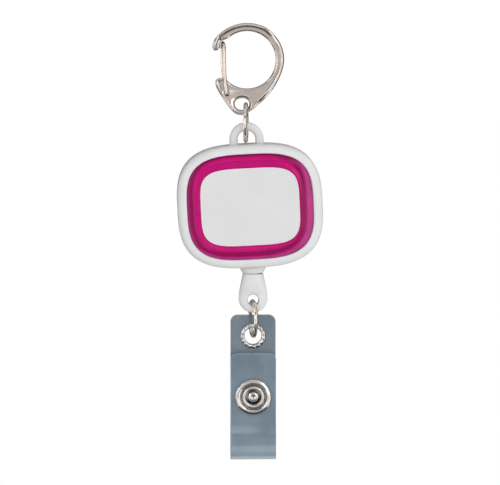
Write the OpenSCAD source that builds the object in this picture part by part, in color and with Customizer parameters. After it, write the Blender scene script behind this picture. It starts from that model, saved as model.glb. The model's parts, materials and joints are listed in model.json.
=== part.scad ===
// Retractable badge reel on a spring-gate hook, hanging down from the hook.
// Millimetres. X to the right, the front faces -Y, Z up.
// The origin is the centre of the hook's round opening.

/* [Hook] */
// Radius of the hook's round opening
hook_opening_r = 7.9; // [7.6:0.1:8.1]
// Front-to-back depth of the hook casting
hook_depth = 3.2; // [2.8:0.1:3.6]
// Radius of the gate wire
gate_wire_r = 0.42; // [0.35:0.01:0.5]
// Width of the eye that holds the upper ring
eye_w = 4.1; // [3.8:0.1:4.4]
// Height of the eye that holds the upper ring
eye_h = 3.5; // [3.3:0.1:3.7]

/* [Rings] */
// Radius of the upper ring, to the middle of its wire
upper_ring_r = 5.02; // [4.9:0.01:5.1]
// Wire radius of the upper ring
upper_wire_r = 0.62; // [0.5:0.01:0.65]
// Turn of the upper ring about the vertical
upper_ring_yaw = -3; // [-5:1:5]
// Radius of the lower ring, to the middle of its wire
lower_ring_r = 4.87; // [4.8:0.01:4.9]
// Wire radius of the lower ring
lower_wire_r = 0.57; // [0.5:0.01:0.6]
// Turn of the lower ring about the vertical
lower_ring_yaw = 8; // [0:1:10]

/* [Case] */
// Width of the case
case_w = 40.4; // [40:0.1:42]
// Height of the case
case_h = 34.4; // [34:0.1:36]
// How square the case's outline is: 2 is an ellipse
case_n = 3.0; // [2.8:0.1:3.6]
// Sideways lean of the hanging case, degrees
case_lean = 2.8; // [0:0.1:4]
// Front of the case, ahead of the hanging plane
case_front = 5.5; // [5.4:0.1:6]
// Back of the case, behind the hanging plane
case_back = 4.6; // [4.5:0.1:5]
// Wall thickness of the case
wall = 1.5; // [1.3:0.1:1.6]

/* [Spool and spring] */
// Radius of the spool's flanges
flange_r = 14.5; // [14:0.1:14.6]
// Radius of the drum that the cord winds on
drum_r = 12.2; // [12:0.1:12.4]
// Width of the cord's groove
groove_w = 3.5; // [3.2:0.1:3.5]
// Radius of the full winding
winding_r = 13.6; // [13.4:0.1:13.6]
// Radius of the post that the spool turns on
post_r = 2.0; // [1.8:0.1:2.2]
// Radial clearance between the post and the spool
running_gap = 0.06; // [0.03:0.01:0.1]
// Turns of the mainspring
spring_turns = 9; // [7:1:9]
// Thickness of the mainspring's ribbon
ribbon_t = 0.18; // [0.15:0.01:0.2]

/* [Cord and end fitting] */
// Radius of the cord
cord_r = 0.4; // [0.35:0.01:0.45]
// Width of the end fitting
fitting_w = 8.14; // [8:0.01:8.3]
// Radius of the end fitting's eye
fitting_eye_r = 1.5; // [1.45:0.01:1.6]

/* [Strap] */
// Width of the strap
strap_w = 12.7; // [12:0.1:13]
// Thickness of the strap
strap_t = 0.55; // [0.5:0.01:0.6]
// Distance between the middles of the two leaves at the snap
leaf_gap = 2.6; // [2.6:0.01:2.7]
// Distance between the middles of the two leaves in the bottom loop
loop_gap = 5.2; // [5.1:0.1:5.4]
// Radius of the eyelet's hole
eyelet_r = 2.375; // [2.3:0.005:2.45]
// Radius of the eyelet's flanges
eyelet_flange_r = 3.63; // [3.5:0.01:3.8]
// Radius of the snap's cap and rivet
snap_r = 5.05; // [4.9:0.05:5.2]

/* [Hidden] */
$fn = 64;

chrome = [0.78, 0.76, 0.76];
white = [0.90, 0.90, 0.91];
magenta = [0.78, 0.08, 0.47];
vinyl = [0.45, 0.52, 0.58];
steel = [0.55, 0.57, 0.60];
nylon = [0.93, 0.93, 0.90];

// Hook: places on the casting.
eye_x = -1.4;
eye_z = -12.05;
gate_pivot = [-5.7, -9.2];
gate_top_z = 5.15;
gate_top_x = -6.3;
gate_rear_lean = 0.7;
gate_side_gap = 0.06;
gate_leg_y = hook_depth / 2 + gate_side_gap + gate_wire_r;

// Rings: where each is held.
upper_ring_x = -0.37;
upper_ring_z = -17.34;
loop_wire_z = upper_ring_z - upper_ring_r;

// Case: its own origin is the ring's bottom wire, and it leans about that point.
case_drop = 18.07;
case_x = upper_ring_x + 0.2;
half_w = case_w / 2;
half_h = case_h / 2;
split_y = 1.2;
insert_half = [17.45, 14.6];
insert_n = 3.3;
label_half = [13.8, 10.85];
label_n = 4.2;
recess_y = -case_front + 1.5;
label_seat_y = recess_y - 0.7;
front_inner_y = recess_y + 0.9;
back_inner_y = case_back - 1.3;
outlet_hole_r = 2.4;
outlet_tip_r = 2.95;
outlet_tip_z = -half_h - 1.8;

// Spool: the knot's place in its far flange, and the ends of the mainspring's spiral.
spool_knot_from_centre = 13.35;
spring_in_r = post_r + 0.7;
spring_out_r = drum_r - 1.55;
spool_slot_w = 0.6;

// End fitting, lower ring and strap hang straight down below the outlet.
neck_len = case_drop - outlet_tip_z;
low_x = case_x + neck_len * sin(case_lean);
fitting_top_z = loop_wire_z - neck_len * cos(case_lean) - 0.12;
fitting_round_drop = 7.05;
fitting_eye_drop = 7.5;
fitting_eye_z = fitting_top_z - fitting_eye_drop;
knot_r = 0.95;
knot_z = fitting_top_z - 3.5;
knot_top_z = knot_z + knot_r;
lower_ring_top_z = fitting_eye_z - 0.48;
lower_ring_z = lower_ring_top_z - lower_ring_r;
eyelet_z = lower_ring_z - lower_ring_r;
strap_top_z = eyelet_z + 6;
front_leaf_top_z = eyelet_z - 4.55;
snap_z = eyelet_z - 16.85;
fold_z = eyelet_z - 34.85;
strap_mid_y = -leaf_gap / 2;
leaf_face = strap_t / 2 + 0.02;
rivet_hole_r = 1.2;
cap_hole_r = 2.55;

// Ellipse-like outline: n = 2 is an ellipse, a higher n is squarer.
function squircle(a, b, n, count = 72) = [for (i = [0 : count - 1])
  let (t = i * 360 / count, c = cos(t), s = sin(t))
  [a * sign(c) * pow(abs(c), 2 / n), b * sign(s) * pow(abs(s), 2 / n)]];

// Point on the closed curve through four neighbouring outline points.
function curve_point(p0, p1, p2, p3, t) = 0.5 * (2 * p1 + (p2 - p0) * t
  + (2 * p0 - 5 * p1 + 4 * p2 - p3) * t * t + (3 * p1 - p0 - 3 * p2 + p3) * t * t * t);
function closed_curve(points, steps) = let (n = len(points))
  [for (i = [0 : n - 1]) for (j = [0 : steps - 1])
    curve_point(points[(i + n - 1) % n], points[i], points[(i + 1) % n], points[(i + 2) % n], j / steps)];

function unit(v) = v / norm(v);
function smooth(t) = let (u = max(0, min(1, t))) u * u * (3 - 2 * u);

// Draws a flat outline standing up, seen from the front, from y = y0 to y = y1.
module upright(y0, y1) {
  translate([0, y1, 0]) rotate([90, 0, 0]) linear_extrude(y1 - y0) children();
}

// Turns a profile of [radius, y] points about an axis along Y.
module turned(profile) {
  rotate([-90, 0, 0]) rotate_extrude() polygon(profile);
}

// A round bar along Y.
module bar_y(r, y0, y1) {
  translate([0, y1, 0]) rotate([90, 0, 0]) cylinder(r = r, h = y1 - y0);
}

// A round wire or cord along a list of points; ref is never parallel to the path.
module sweep(path, r, sides, ref) {
  n = len(path);
  rings = [for (i = [0 : n - 1])
    let (t = unit(path[min(i + 1, n - 1)] - path[max(i - 1, 0)]),
      u = unit(cross(t, ref)), v = cross(t, u))
    for (k = [0 : sides - 1]) path[i] + r * (cos(k * 360 / sides) * u + sin(k * 360 / sides) * v)];
  walls = [for (i = [0 : n - 2]) for (k = [0 : sides - 1])
    let (a = i * sides + k, b = i * sides + (k + 1) % sides)
    each [[a, a + sides, b + sides], [a, b + sides, b]]];
  start = [[for (k = [0 : sides - 1]) k]];
  end = [[for (k = [sides - 1 : -1 : 0]) (n - 1) * sides + k]];
  polyhedron(rings, concat(walls, start, end), convexity = 6);
}

// A shell's outside: a stack of outlines, each [inset, y], front to back.
module loft(layers, a, b, n, count = 72) {
  points = [for (l = layers) for (p = squircle(a - l[0], b - l[0], n, count)) [p[0], l[1], p[1]]];
  last = len(layers) - 1;
  walls = [for (i = [0 : last - 1]) for (k = [0 : count - 1])
    let (p = i * count + k, q = i * count + (k + 1) % count)
    each [[p, q, q + count], [p, q + count, p + count]]];
  front = [[for (k = [count - 1 : -1 : 0]) k]];
  back = [[for (k = [0 : count - 1]) last * count + k]];
  polyhedron(points, concat(walls, front, back), convexity = 6);
}

module hang_case() {
  translate([case_x, 0, loop_wire_z]) rotate([0, -case_lean, 0]) children();
}

// Puts the case's middle at the case frame's middle.
module at_case() {
  hang_case() translate([0, 0, -case_drop]) children();
}

module ring(r, wire_r, yaw) {
  rotate([0, 0, yaw]) rotate([0, 90, 0]) rotate_extrude() translate([r, 0]) circle(wire_r);
}

// ---- Hook ----

// Outline points, from the nose's tip over the inside of the throat, the lug, the foot and the bow.
hook_outline = [[-9.1, 2.6], [-8.1, 2.6], [-7.6, 3.5], [-7.75, 5.0], [-7.1, 5.7], [-5.6, 6.3],
  [-3, 5.5], [-3, -5.2], [-6.4, -5.2], [-7.7, -5.0], [-8.6, -5.5], [-8.9, -6.6], [-8.3, -8.6],
  [-7.0, -10.7], [-5.5, -12.8], [-3.9, -14.7], [-2.1, -15.4], [0.1, -14.8], [2.3, -13.3],
  [5.1, -10.8], [7.0, -8.7], [8.5, -6.2], [9.8, -2.8], [10.3, 0.4], [9.5, 4.2], [7.0, 7.6],
  [3.6, 9.7], [-0.2, 10.3], [-2.9, 9.95], [-5.5, 9.05], [-7.4, 7.8], [-8.7, 6.3], [-9.5, 4.7],
  [-9.7, 3.4]];

module eye_shape(grow) {
  shift = (eye_w - eye_h) / 2;
  r = eye_h / 2 + grow;
  translate([-shift, 0]) circle(r);
  translate([shift, 0]) circle(r);
  square([2 * shift, 2 * r], center = true);
}

module hook_body() color(chrome) {
  half = hook_depth / 2;
  chamfer = 0.5;
  difference() {
    upright(-half, half) polygon(closed_curve(hook_outline, 4));
    bar_y(hook_opening_r, -half - 1, half + 1);
    translate([eye_x, 0, eye_z]) {
      upright(-half - 1, half + 1) eye_shape(0);
      for (side = [-1, 1]) for (shift = [-0.3, 0.3])
        translate([shift, side * (half - chamfer), 0]) rotate([-90 * side, 0, 0])
          cylinder(r1 = eye_h / 2, r2 = eye_h / 2 + 2 * chamfer, h = 2 * chamfer);
    }
    translate([gate_pivot[0], 0, gate_pivot[1]]) bar_y(gate_wire_r + 0.05, -half - 1, half + 1);
  }
}

// The gate's two legs are joined by a half-round top, and each foot turns into the lug.
module hook_gate() color(chrome) {
  foot_in = 0.5;
  foot_out = gate_leg_y + 0.3;
  bottom = gate_pivot[1] - 0.1;
  arch_z = gate_top_z - gate_wire_r - gate_leg_y;
  rise = arch_z - bottom;
  rear_x = gate_top_x - gate_rear_lean;
  arch = [for (a = [0 : 15 : 180])
    [gate_top_x - gate_rear_lean * (1 - cos(a)) / 2, -gate_leg_y * cos(a), arch_z + gate_leg_y * sin(a)]];
  front = [for (s = [0, 0.5])
    [gate_pivot[0] + (gate_top_x - gate_pivot[0]) * s, -gate_leg_y, bottom + rise * s]];
  rear = [for (s = [0.5, 0])
    [gate_pivot[0] + (rear_x - gate_pivot[0]) * s, gate_leg_y, bottom + rise * s]];
  sweep(concat(front, arch, rear), gate_wire_r, 12, [1, 0, 0]);
  translate([gate_pivot[0], 0, gate_pivot[1]]) {
    bar_y(gate_wire_r, -foot_out, -foot_in);
    bar_y(gate_wire_r, foot_in, foot_out);
  }
}

module upper_ring() color(chrome)
  translate([upper_ring_x, 0, upper_ring_z]) ring(upper_ring_r, upper_wire_r, upper_ring_yaw);

// ---- Case ----

module case_outline(inset) {
  polygon(squircle(half_w - inset, half_h - inset, case_n));
}

// The hanging loop, drawn about the ring's bottom wire.
module loop_outline() {
  outer_r = 4.85;
  slot_r = 2.35;
  difference() {
    union() {
      translate([0, 0.25]) circle(outer_r);
      translate([-outer_r, -3]) square([2 * outer_r, 3.25]);
    }
    translate([0, 0.6]) circle(slot_r);
    translate([-slot_r, -1.2]) square([2 * slot_r, 1.8]);
  }
}

// Clears the outlet's barrel, and its flange on the inside.
module outlet_hole() {
  translate([0, 0, -half_h - 2]) cylinder(r = outlet_hole_r + 0.03, h = 4);
  translate([0, 0, -half_h + wall]) cylinder(r = 3.2, h = 2);
}

module front_shell() color(white) {
  socket_r = 3.2;
  at_case() {
    difference() {
      loft([[2.1, -case_front], [1.2, -case_front + 0.35], [0.4, -case_front + 1.2],
        [0, -case_front + 2.4], [0, split_y]], half_w, half_h, case_n);
      upright(front_inner_y, split_y + 1) case_outline(wall);
      upright(-case_front - 1, recess_y)
        polygon(squircle(insert_half[0] + 0.05, insert_half[1] + 0.05, insert_n));
      outlet_hole();
    }
    difference() {
      bar_y(socket_r, front_inner_y - 0.1, front_inner_y + 0.2);
      bar_y(post_r + 0.02, front_inner_y - 0.2, front_inner_y + 1);
    }
  }
  hang_case() difference() {
    upright(-1.4, split_y) loop_outline();
    translate([0, 0, -case_drop]) upright(-2, 2) case_outline(0.6);
  }
}

module back_shell() color(white) {
  tongue_gap = 0.06;
  tongue_t = 0.8;
  slot_w = 0.6;
  slot_y = -groove_w / 2 + 0.2;
  at_case() {
    difference() {
      union() {
        loft([[0, split_y + 0.03], [0, case_back - 1.6], [0.5, case_back - 0.5], [1.6, case_back]],
          half_w, half_h, case_n);
        upright(split_y - 0.6, split_y + 0.5) case_outline(wall + tongue_gap);
      }
      upright(split_y - 2, back_inner_y) case_outline(wall + tongue_gap + tongue_t);
      outlet_hole();
    }
    difference() {
      bar_y(post_r, front_inner_y + 0.02, back_inner_y + 0.1);
      translate([-slot_w / 2, slot_y, -post_r - 1]) cube([slot_w, back_inner_y - slot_y, 2 * post_r + 2]);
    }
  }
}

module colour_insert() color(magenta) {
  front_y = -case_front - 0.05;
  at_case() difference() {
    loft([[1.0, front_y], [0.3, front_y + 0.25], [0, front_y + 0.8], [0, recess_y]],
      insert_half[0], insert_half[1], insert_n);
    upright(front_y - 1, label_seat_y)
      polygon(squircle(label_half[0] + 0.05, label_half[1] + 0.05, label_n));
  }
}

module label_panel() color(white) {
  at_case() upright(-case_front + 0.25, label_seat_y)
    polygon(squircle(label_half[0], label_half[1], label_n));
}

module cord_outlet() color(white) {
  inner_z = -half_h + wall;
  hole_r = 0.65;
  lead_in = 0.5;
  at_case() rotate_extrude() polygon([[hole_r, outlet_tip_z], [outlet_tip_r - 0.2, outlet_tip_z],
    [outlet_tip_r, outlet_tip_z + 0.2], [3.7, -half_h - 0.35], [3.8, -half_h - 0.05],
    [outlet_hole_r, -half_h - 0.05], [outlet_hole_r, inner_z + 0.05], [3.1, inner_z + 0.05],
    [3.1, inner_z + 0.5], [2.8, inner_z + 0.65], [hole_r + lead_in, inner_z + 0.65],
    [hole_r, inner_z]]);
}

// ---- Spool, spring and cord ----

module spool_wheel() color(nylon) {
  half = groove_w / 2;
  web_y = -half - 1.0;
  rim_y = half + 1.0;
  bore_r = post_r + running_gap;
  at_case() difference() {
    turned([[bore_r, web_y], [flange_r, web_y], [flange_r, -half], [drum_r, -half], [drum_r, half],
      [flange_r, half], [flange_r, rim_y], [drum_r - 1, rim_y], [drum_r - 1, -half],
      [bore_r + 1.4, -half], [bore_r + 1.2, -half + 0.5], [bore_r, -half + 0.5]]);
    translate([-spool_slot_w / 2, -half + 0.4, drum_r - 2]) cube([spool_slot_w, groove_w - 0.6, 2.3]);
    translate([0, 0, spool_knot_from_centre]) bar_y(0.75, half - 0.1, rim_y + 1);
    for (a = [45 : 90 : 315]) rotate([0, a, 0]) translate([0, 0, 7.4]) bar_y(1.4, web_y - 1, -half + 1);
  }
}

// One spiral ribbon, with a tail in the post's slot and a hook in the drum's slot.
module mainspring() color(steel) {
  step = 15;
  last = spring_turns * 360;
  edge = [for (a = [0 : step : last]) [spring_in_r + (spring_out_r - spring_in_r) * a / last, a]];
  inner = [for (e = edge) e[0] * [sin(e[1]), cos(e[1])]];
  outer = [for (i = [len(edge) - 1 : -1 : 0])
    (edge[i][0] + ribbon_t) * [sin(edge[i][1]), cos(edge[i][1])]];
  at_case() {
    upright(-1.2, 1.5) {
      polygon(concat(inner, outer));
      translate([-ribbon_t / 2, 0.3]) square([ribbon_t, spring_in_r - 0.3 + ribbon_t / 2]);
    }
    upright(-1.0, 1.2) rotate(-last) translate([-ribbon_t, spring_out_r + ribbon_t / 2]) rotate(-8)
      square([ribbon_t, 0.6]);
  }
}

module cord_winding() color(nylon) {
  half = groove_w / 2 - 0.03;
  at_case() turned([[drum_r + 0.03, -half], [winding_r, -half], [winding_r, half], [drum_r + 0.03, half]]);
}

module cord_anchor_knot() color(nylon)
  at_case() translate([0, groove_w / 2 + 0.72, spool_knot_from_centre]) sphere(0.66);

// The lead leaves the winding at a tangent, turns down into the bush, and ends in the fitting.
module cord_lead() color(nylon) {
  run_r = winding_r + cord_r + 0.04;
  corner = [0, -half_h + 2.3];
  off = asin(run_r / norm(corner));
  length = sqrt(norm(corner) * norm(corner) - run_r * run_r);
  side = [sin(off), cos(off)];
  bend = 1.4;
  start = [for (s = [1 : -0.2 : 0.3]) corner + side * length * s];
  turn = [for (t = [0 : 0.125 : 1]) corner + side * bend * (1 - t) * (1 - t) + [0, -bend] * t * t];
  inside = [for (p = concat(start, turn, [[0, outlet_tip_z]])) case_point(p)];
  below = [for (z = [fitting_top_z - 0.3, fitting_top_z - 1.4, knot_top_z + 0.01]) [low_x, 0, z]];
  sweep(concat(inside, below), cord_r, 8, [0, 1, 0]);
}

// A point [x, z] about the case's middle, in the whole object's frame.
function case_point(p) = let (x = p[0], z = p[1] - case_drop)
  [case_x + x * cos(case_lean) - z * sin(case_lean), 0,
    loop_wire_z + x * sin(case_lean) + z * cos(case_lean)];

module cord_end_knot() color(nylon)
  translate([low_x, 0, knot_z]) sphere(knot_r);

// ---- End fitting and lower ring ----

// Right-hand edge of the drop shape, [half width, height], from the top down to the round end.
fitting_edge = [[2.8, 0], [2.95, -0.5], [3.3, -2.0], [3.55, -3.6], [3.85, -5.2]];

// Outline seen from the side, [y, height]: full at the top, thinner round the eye.
module fitting_side(top_half, eye_half) {
  polygon([[-top_half, 0], [top_half, 0], [top_half, -3.2], [eye_half, -6.2], [eye_half, -12],
    [-eye_half, -12], [-eye_half, -6.2], [-top_half, -3.2]]);
}

// The cord comes in through the top, and its knot sits in a pocket that is open at the back.
module end_fitting() color(white) {
  left = [for (i = [len(fitting_edge) - 1 : -1 : 0]) [-fitting_edge[i][0], fitting_edge[i][1]]];
  round_end = [for (a = [10 : -10 : -190])
    fitting_w / 2 * [cos(a), sin(a)] + [0, -fitting_round_drop]];
  chamfer = 0.4;
  half = 1.6;
  pocket_r = 1.15;
  pocket_h = 2.9;
  pocket_z = -4.9;
  translate([low_x, 0, fitting_top_z]) difference() {
    intersection() {
      upright(-3, 3) polygon(concat(fitting_edge, round_end, left));
      rotate([90, 0, 90]) linear_extrude(fitting_w + 2, center = true) fitting_side(2.6, half);
    }
    translate([0, 0, -fitting_eye_drop]) {
      bar_y(fitting_eye_r, -4, 4);
      for (side = [-1, 1]) translate([0, side * (half - chamfer), 0]) rotate([-90 * side, 0, 0])
        cylinder(r1 = fitting_eye_r, r2 = fitting_eye_r + 2 * chamfer, h = 2 * chamfer);
    }
    translate([0, 0, -3]) cylinder(r = 0.6, h = 4);
    translate([0, 0, pocket_z]) cylinder(r = pocket_r, h = pocket_h);
    translate([-pocket_r, 0, pocket_z]) cube([2 * pocket_r, 4, pocket_h]);
  }
}

module lower_ring() color(chrome)
  translate([low_x, 0, lower_ring_z]) ring(lower_ring_r, lower_wire_r, lower_ring_yaw);

// ---- Strap ----

// Half the distance between the leaves at height h above the fold.
function half_gap(h) = let (full = loop_gap / 2, low = full)
  h < low ? full * sqrt(max(0, 1 - pow(1 - h / low, 2)))
  : full - (full - leaf_gap / 2) * smooth((h - 7.0) / 5.5);

// Middle line of one leaf, [y, z], from its free top down to the fold; side is -1 front, 1 rear.
function leaf_path(top, side) = let (full = loop_gap / 2) concat(
  [[side * half_gap(99) + strap_mid_y, top]],
  [for (h = [13 : -1 : 6]) [side * half_gap(h) + strap_mid_y, fold_z + h]],
  [for (a = [0 : 9 : 84]) [side * full * cos(a) + strap_mid_y, fold_z + full - full * sin(a)]],
  [[strap_mid_y + side * 0.1, fold_z]]);

// Both leaves thin to an edge at the fold, which leaves room for the fold to open.
function leaf_edge(path, side) = [for (i = [0 : len(path) - 1])
  let (t = unit(path[min(i + 1, len(path) - 1)] - path[max(i - 1, 0)]),
    away = norm(path[i] - [strap_mid_y, fold_z]), thick = min(strap_t, 0.5 * away))
  path[i] + side * thick / 2 * [-t[1], t[0]]];

module leaf(top, side, corner_r) {
  path = leaf_path(top, side);
  edge = leaf_edge(path, -1);
  back = leaf_edge(path, 1);
  difference() {
    translate([low_x, 0, 0]) rotate([90, 0, 90]) linear_extrude(strap_w, center = true)
      polygon(concat(edge, [for (i = [len(back) - 1 : -1 : 0]) back[i]]));
    for (m = [0, 1]) translate([low_x, 0, top]) mirror([m, 0, 0])
      translate([strap_w / 2 - corner_r, 0, -corner_r]) upright(-6, 6) difference() {
        square(corner_r + 1);
        circle(corner_r);
      }
  }
}

module strap_rear_leaf() color(vinyl) {
  difference() {
    leaf(strap_top_z, 1, 2.0);
    translate([low_x, 0, eyelet_z]) bar_y(eyelet_r + 0.3, -2, 2);
    translate([low_x, 0, snap_z]) bar_y(rivet_hole_r, -2, 2);
  }
}

module strap_front_leaf() color(vinyl) {
  difference() {
    leaf(front_leaf_top_z, -1, 1.7);
    translate([low_x, 0, snap_z]) bar_y(cap_hole_r, -5, -1.5);
  }
}

module at_eyelet() { translate([low_x, 0, eyelet_z]) children(); }
module at_snap() { translate([low_x, 0, snap_z]) children(); }

module strap_eyelet() color(chrome) {
  r = eyelet_r;
  at_eyelet() turned([[r, leaf_face + 0.5], [r, -leaf_face - 0.25], [r + 0.3, -leaf_face - 0.55],
    [r + 0.8, -leaf_face - 0.55], [eyelet_flange_r, -leaf_face - 0.15], [eyelet_flange_r, -leaf_face],
    [r + 0.27, -leaf_face], [r + 0.27, leaf_face + 0.5]]);
}

module eyelet_washer() color(chrome) {
  r = eyelet_r + 0.29;
  at_eyelet() turned([[r, leaf_face], [eyelet_flange_r, leaf_face], [eyelet_flange_r, leaf_face + 0.15],
    [r + 0.6, leaf_face + 0.5], [r, leaf_face + 0.5]]);
}

module snap_stud() color(chrome) {
  head_r = 1.65;
  neck_r = 1.4;
  y = -leaf_face;
  at_snap() turned([[1.02, y], [4.6, y], [4.6, y - 0.2], [3.2, y - 0.42], [neck_r, y - 0.42],
    [neck_r, y - 1.2], [head_r, y - 1.6], [head_r, y - 2.4], [1.2, y - 2.8], [0, y - 2.95],
    [0, y - 1.4], [1.02, y - 1.4]]);
}

module snap_rear_rivet() color(chrome) {
  y = leaf_face;
  at_snap() turned([[0, -y - 1.3], [1.0, -y - 1.3], [1.0, y], [snap_r, y], [snap_r, y + 0.25],
    [snap_r - 0.9, y + 0.75], [snap_r - 2.4, y + 0.95], [0, y + 1.0]]);
}

module snap_cap() color(chrome) {
  y = -leaf_gap - leaf_face;
  in_r = 2.2;
  at_snap() turned([[in_r, y + 0.75], [in_r, y - 0.7], [in_r + 0.25, y - 0.95], [in_r + 0.65, y - 0.95],
    [in_r + 0.95, y - 0.55], [3.4, y - 0.4], [3.7, y - 0.7], [4.3, y - 0.95], [4.75, y - 0.75],
    [snap_r, y - 0.3], [snap_r, y], [in_r + 0.3, y], [in_r + 0.3, y + 0.75]]);
}

module snap_socket() color(chrome) {
  y = -leaf_gap + leaf_face;
  mouth_r = 2.05;
  at_snap() turned([[2.52, y], [4.8, y], [4.8, y + 0.3], [3.6, y + 1.2], [3.3, y + 1.35], [mouth_r, y + 1.35],
    [mouth_r, y + 1.15], [2.52, y + 1.15]]);
}

module snap_spring() color(steel) {
  at_snap() translate([0, -leaf_gap + leaf_face + 0.88, 0]) rotate([90, 0, 0])
    rotate_extrude() translate([2.26, 0]) circle(0.2);
}

hook_body();
hook_gate();
upper_ring();
front_shell();
back_shell();
colour_insert();
label_panel();
cord_outlet();
spool_wheel();
mainspring();
cord_winding();
cord_anchor_knot();
cord_lead();
cord_end_knot();
end_fitting();
lower_ring();
strap_rear_leaf();
strap_eyelet();
eyelet_washer();
snap_stud();
snap_rear_rivet();
strap_front_leaf();
snap_cap();
snap_socket();
snap_spring();
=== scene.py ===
"""Looks, light and camera for the retractable badge reel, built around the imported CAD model.

Shapes are worked out in millimetres and made in metres, in the shared frame.
The front faces -Y and Z is up. The origin is the centre of the hook's round opening.
"""
import json
import math

import bmesh
import bpy
import numpy as np
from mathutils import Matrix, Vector
from mathutils.geometry import tessellate_polygon

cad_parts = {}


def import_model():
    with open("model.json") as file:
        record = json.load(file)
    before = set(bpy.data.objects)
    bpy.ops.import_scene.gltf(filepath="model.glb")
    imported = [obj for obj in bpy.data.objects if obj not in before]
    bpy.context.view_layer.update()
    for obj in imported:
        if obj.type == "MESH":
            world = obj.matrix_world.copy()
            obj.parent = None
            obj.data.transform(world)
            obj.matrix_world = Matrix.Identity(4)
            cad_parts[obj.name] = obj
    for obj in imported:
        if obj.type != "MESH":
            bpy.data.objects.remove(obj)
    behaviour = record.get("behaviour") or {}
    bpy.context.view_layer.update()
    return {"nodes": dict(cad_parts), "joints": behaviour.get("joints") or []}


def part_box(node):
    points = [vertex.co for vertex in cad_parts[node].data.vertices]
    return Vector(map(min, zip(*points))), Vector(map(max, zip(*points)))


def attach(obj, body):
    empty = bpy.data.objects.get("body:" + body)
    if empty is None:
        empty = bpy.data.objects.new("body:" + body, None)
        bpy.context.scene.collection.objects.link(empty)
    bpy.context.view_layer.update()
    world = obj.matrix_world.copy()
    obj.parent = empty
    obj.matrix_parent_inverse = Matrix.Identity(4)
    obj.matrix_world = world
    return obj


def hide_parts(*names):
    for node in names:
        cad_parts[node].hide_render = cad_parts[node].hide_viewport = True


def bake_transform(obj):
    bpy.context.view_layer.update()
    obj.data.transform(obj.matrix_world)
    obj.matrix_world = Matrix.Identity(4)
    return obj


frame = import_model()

MM = 0.001
rng = np.random.default_rng(7)

# ---- Places, in mm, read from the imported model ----


def joint_at(name):
    """Where a joint's axis is, in mm."""
    joint = next(j for j in frame["joints"] if j["name"] == name)
    return np.array(joint["pos_m"]) / MM


def middle_of(node):
    """The middle of a CAD node's box, in mm."""
    low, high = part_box(node)
    return np.array((low + high) / 2) / MM


GATE_PIVOT = joint_at("gate_hinge")
CASE_MIDDLE = joint_at("spool_spin")
FITTING_TOP = joint_at("fitting_swivel")
EYELET = joint_at("strap_swing")
FOLD = joint_at("flap_open")
SNAP = middle_of("snap_cap")
GAP_BELOW_OUTLET = 0.12
DROP_TO_FITTING = CASE_MIDDLE[2] - FITTING_TOP[2] - GAP_BELOW_OUTLET
LEAN = math.atan2(FITTING_TOP[0] - CASE_MIDDLE[0], DROP_TO_FITTING)

# ---- The strap's sizes, in mm; the gaps are between the middles of the two leaves ----

STRAP_HALF_W = 6.35
STRAP_T = 0.55
LEAF_GAP = 2.6
LOOP_GAP = 5.2
REAR_TOP = EYELET[2] + 6.0
FRONT_TOP = EYELET[2] - 4.55
REAR_CORNER = 2.0
FRONT_CORNER = 1.7


def at_case(points):
    """Points from the case's own middle, turned to its lean and put in place."""
    p = np.asarray(points, float)
    x = p[:, 0] * math.cos(LEAN) - p[:, 2] * math.sin(LEAN)
    z = p[:, 0] * math.sin(LEAN) + p[:, 2] * math.cos(LEAN)
    return np.stack([x, p[:, 1], z], 1) + [CASE_MIDDLE[0], 0, CASE_MIDDLE[2]]


# ---- Outlines ----


def resampled(points, step, closed=True):
    """The same line with points every step mm or a little less."""
    p = np.asarray(points, float)
    if closed:
        p = np.vstack([p, p[:1]])
    along = np.concatenate([[0], np.cumsum(np.linalg.norm(np.diff(p, axis=0), axis=1))])
    count = max(3, math.ceil(along[-1] / step))
    at = np.linspace(0, along[-1], count + 1)
    if closed:
        at = at[:-1]
    return np.stack([np.interp(at, along, p[:, i]) for i in range(p.shape[1])], 1)


def squircle(a, b, n, count=240):
    """Ellipse-like outline with evenly spaced points: n = 2 is an ellipse, a higher n is squarer."""
    t = np.linspace(0, 2 * math.pi, 8 * count, endpoint=False)
    x = a * np.sign(np.cos(t)) * np.abs(np.cos(t)) ** (2 / n)
    z = b * np.sign(np.sin(t)) * np.abs(np.sin(t)) ** (2 / n)
    dense = resampled(np.stack([x, z], 1), 0.05)
    keep = np.linspace(0, len(dense), count, endpoint=False).astype(int)
    return dense[keep]


def closed_curve(points, steps=8):
    """A smooth closed curve through the points."""
    p = np.asarray(points, float)
    before, after, beyond = np.roll(p, 1, 0), np.roll(p, -1, 0), np.roll(p, -2, 0)
    curve = []
    for t in np.linspace(0, 1, steps, endpoint=False):
        curve.append(0.5 * (2 * p + (after - before) * t
                            + (2 * before - 5 * p + 4 * after - beyond) * t ** 2
                            + (3 * p - before - 3 * after + beyond) * t ** 3))
    return np.stack(curve, 1).reshape(-1, p.shape[1])


def rounded(points, cut, closed=True, steps=4):
    """The line with each corner turned into a small curve that starts cut mm before it."""
    p = np.asarray(points, float)
    out = []
    for i, corner in enumerate(p):
        if not closed and i in (0, len(p) - 1):
            out.append(corner)
            continue
        back, ahead = p[i - 1] - corner, p[(i + 1) % len(p)] - corner
        start = corner + back * min(0.45, cut / np.linalg.norm(back))
        end = corner + ahead * min(0.45, cut / np.linalg.norm(ahead))
        for t in np.linspace(0, 1, steps + 1):
            out.append(start * (1 - t) ** 2 + 2 * corner * t * (1 - t) + end * t ** 2)
    return np.array(out)


def inward(outline):
    """Unit vectors into the material, for an outline with the material on its left."""
    ahead = np.roll(outline, -1, 0) - np.roll(outline, 1, 0)
    ahead /= np.linalg.norm(ahead, axis=1)[:, None]
    return np.stack([-ahead[:, 1], ahead[:, 0]], 1)


def inset(outline, distance):
    return outline + inward(outline) * distance


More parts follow.
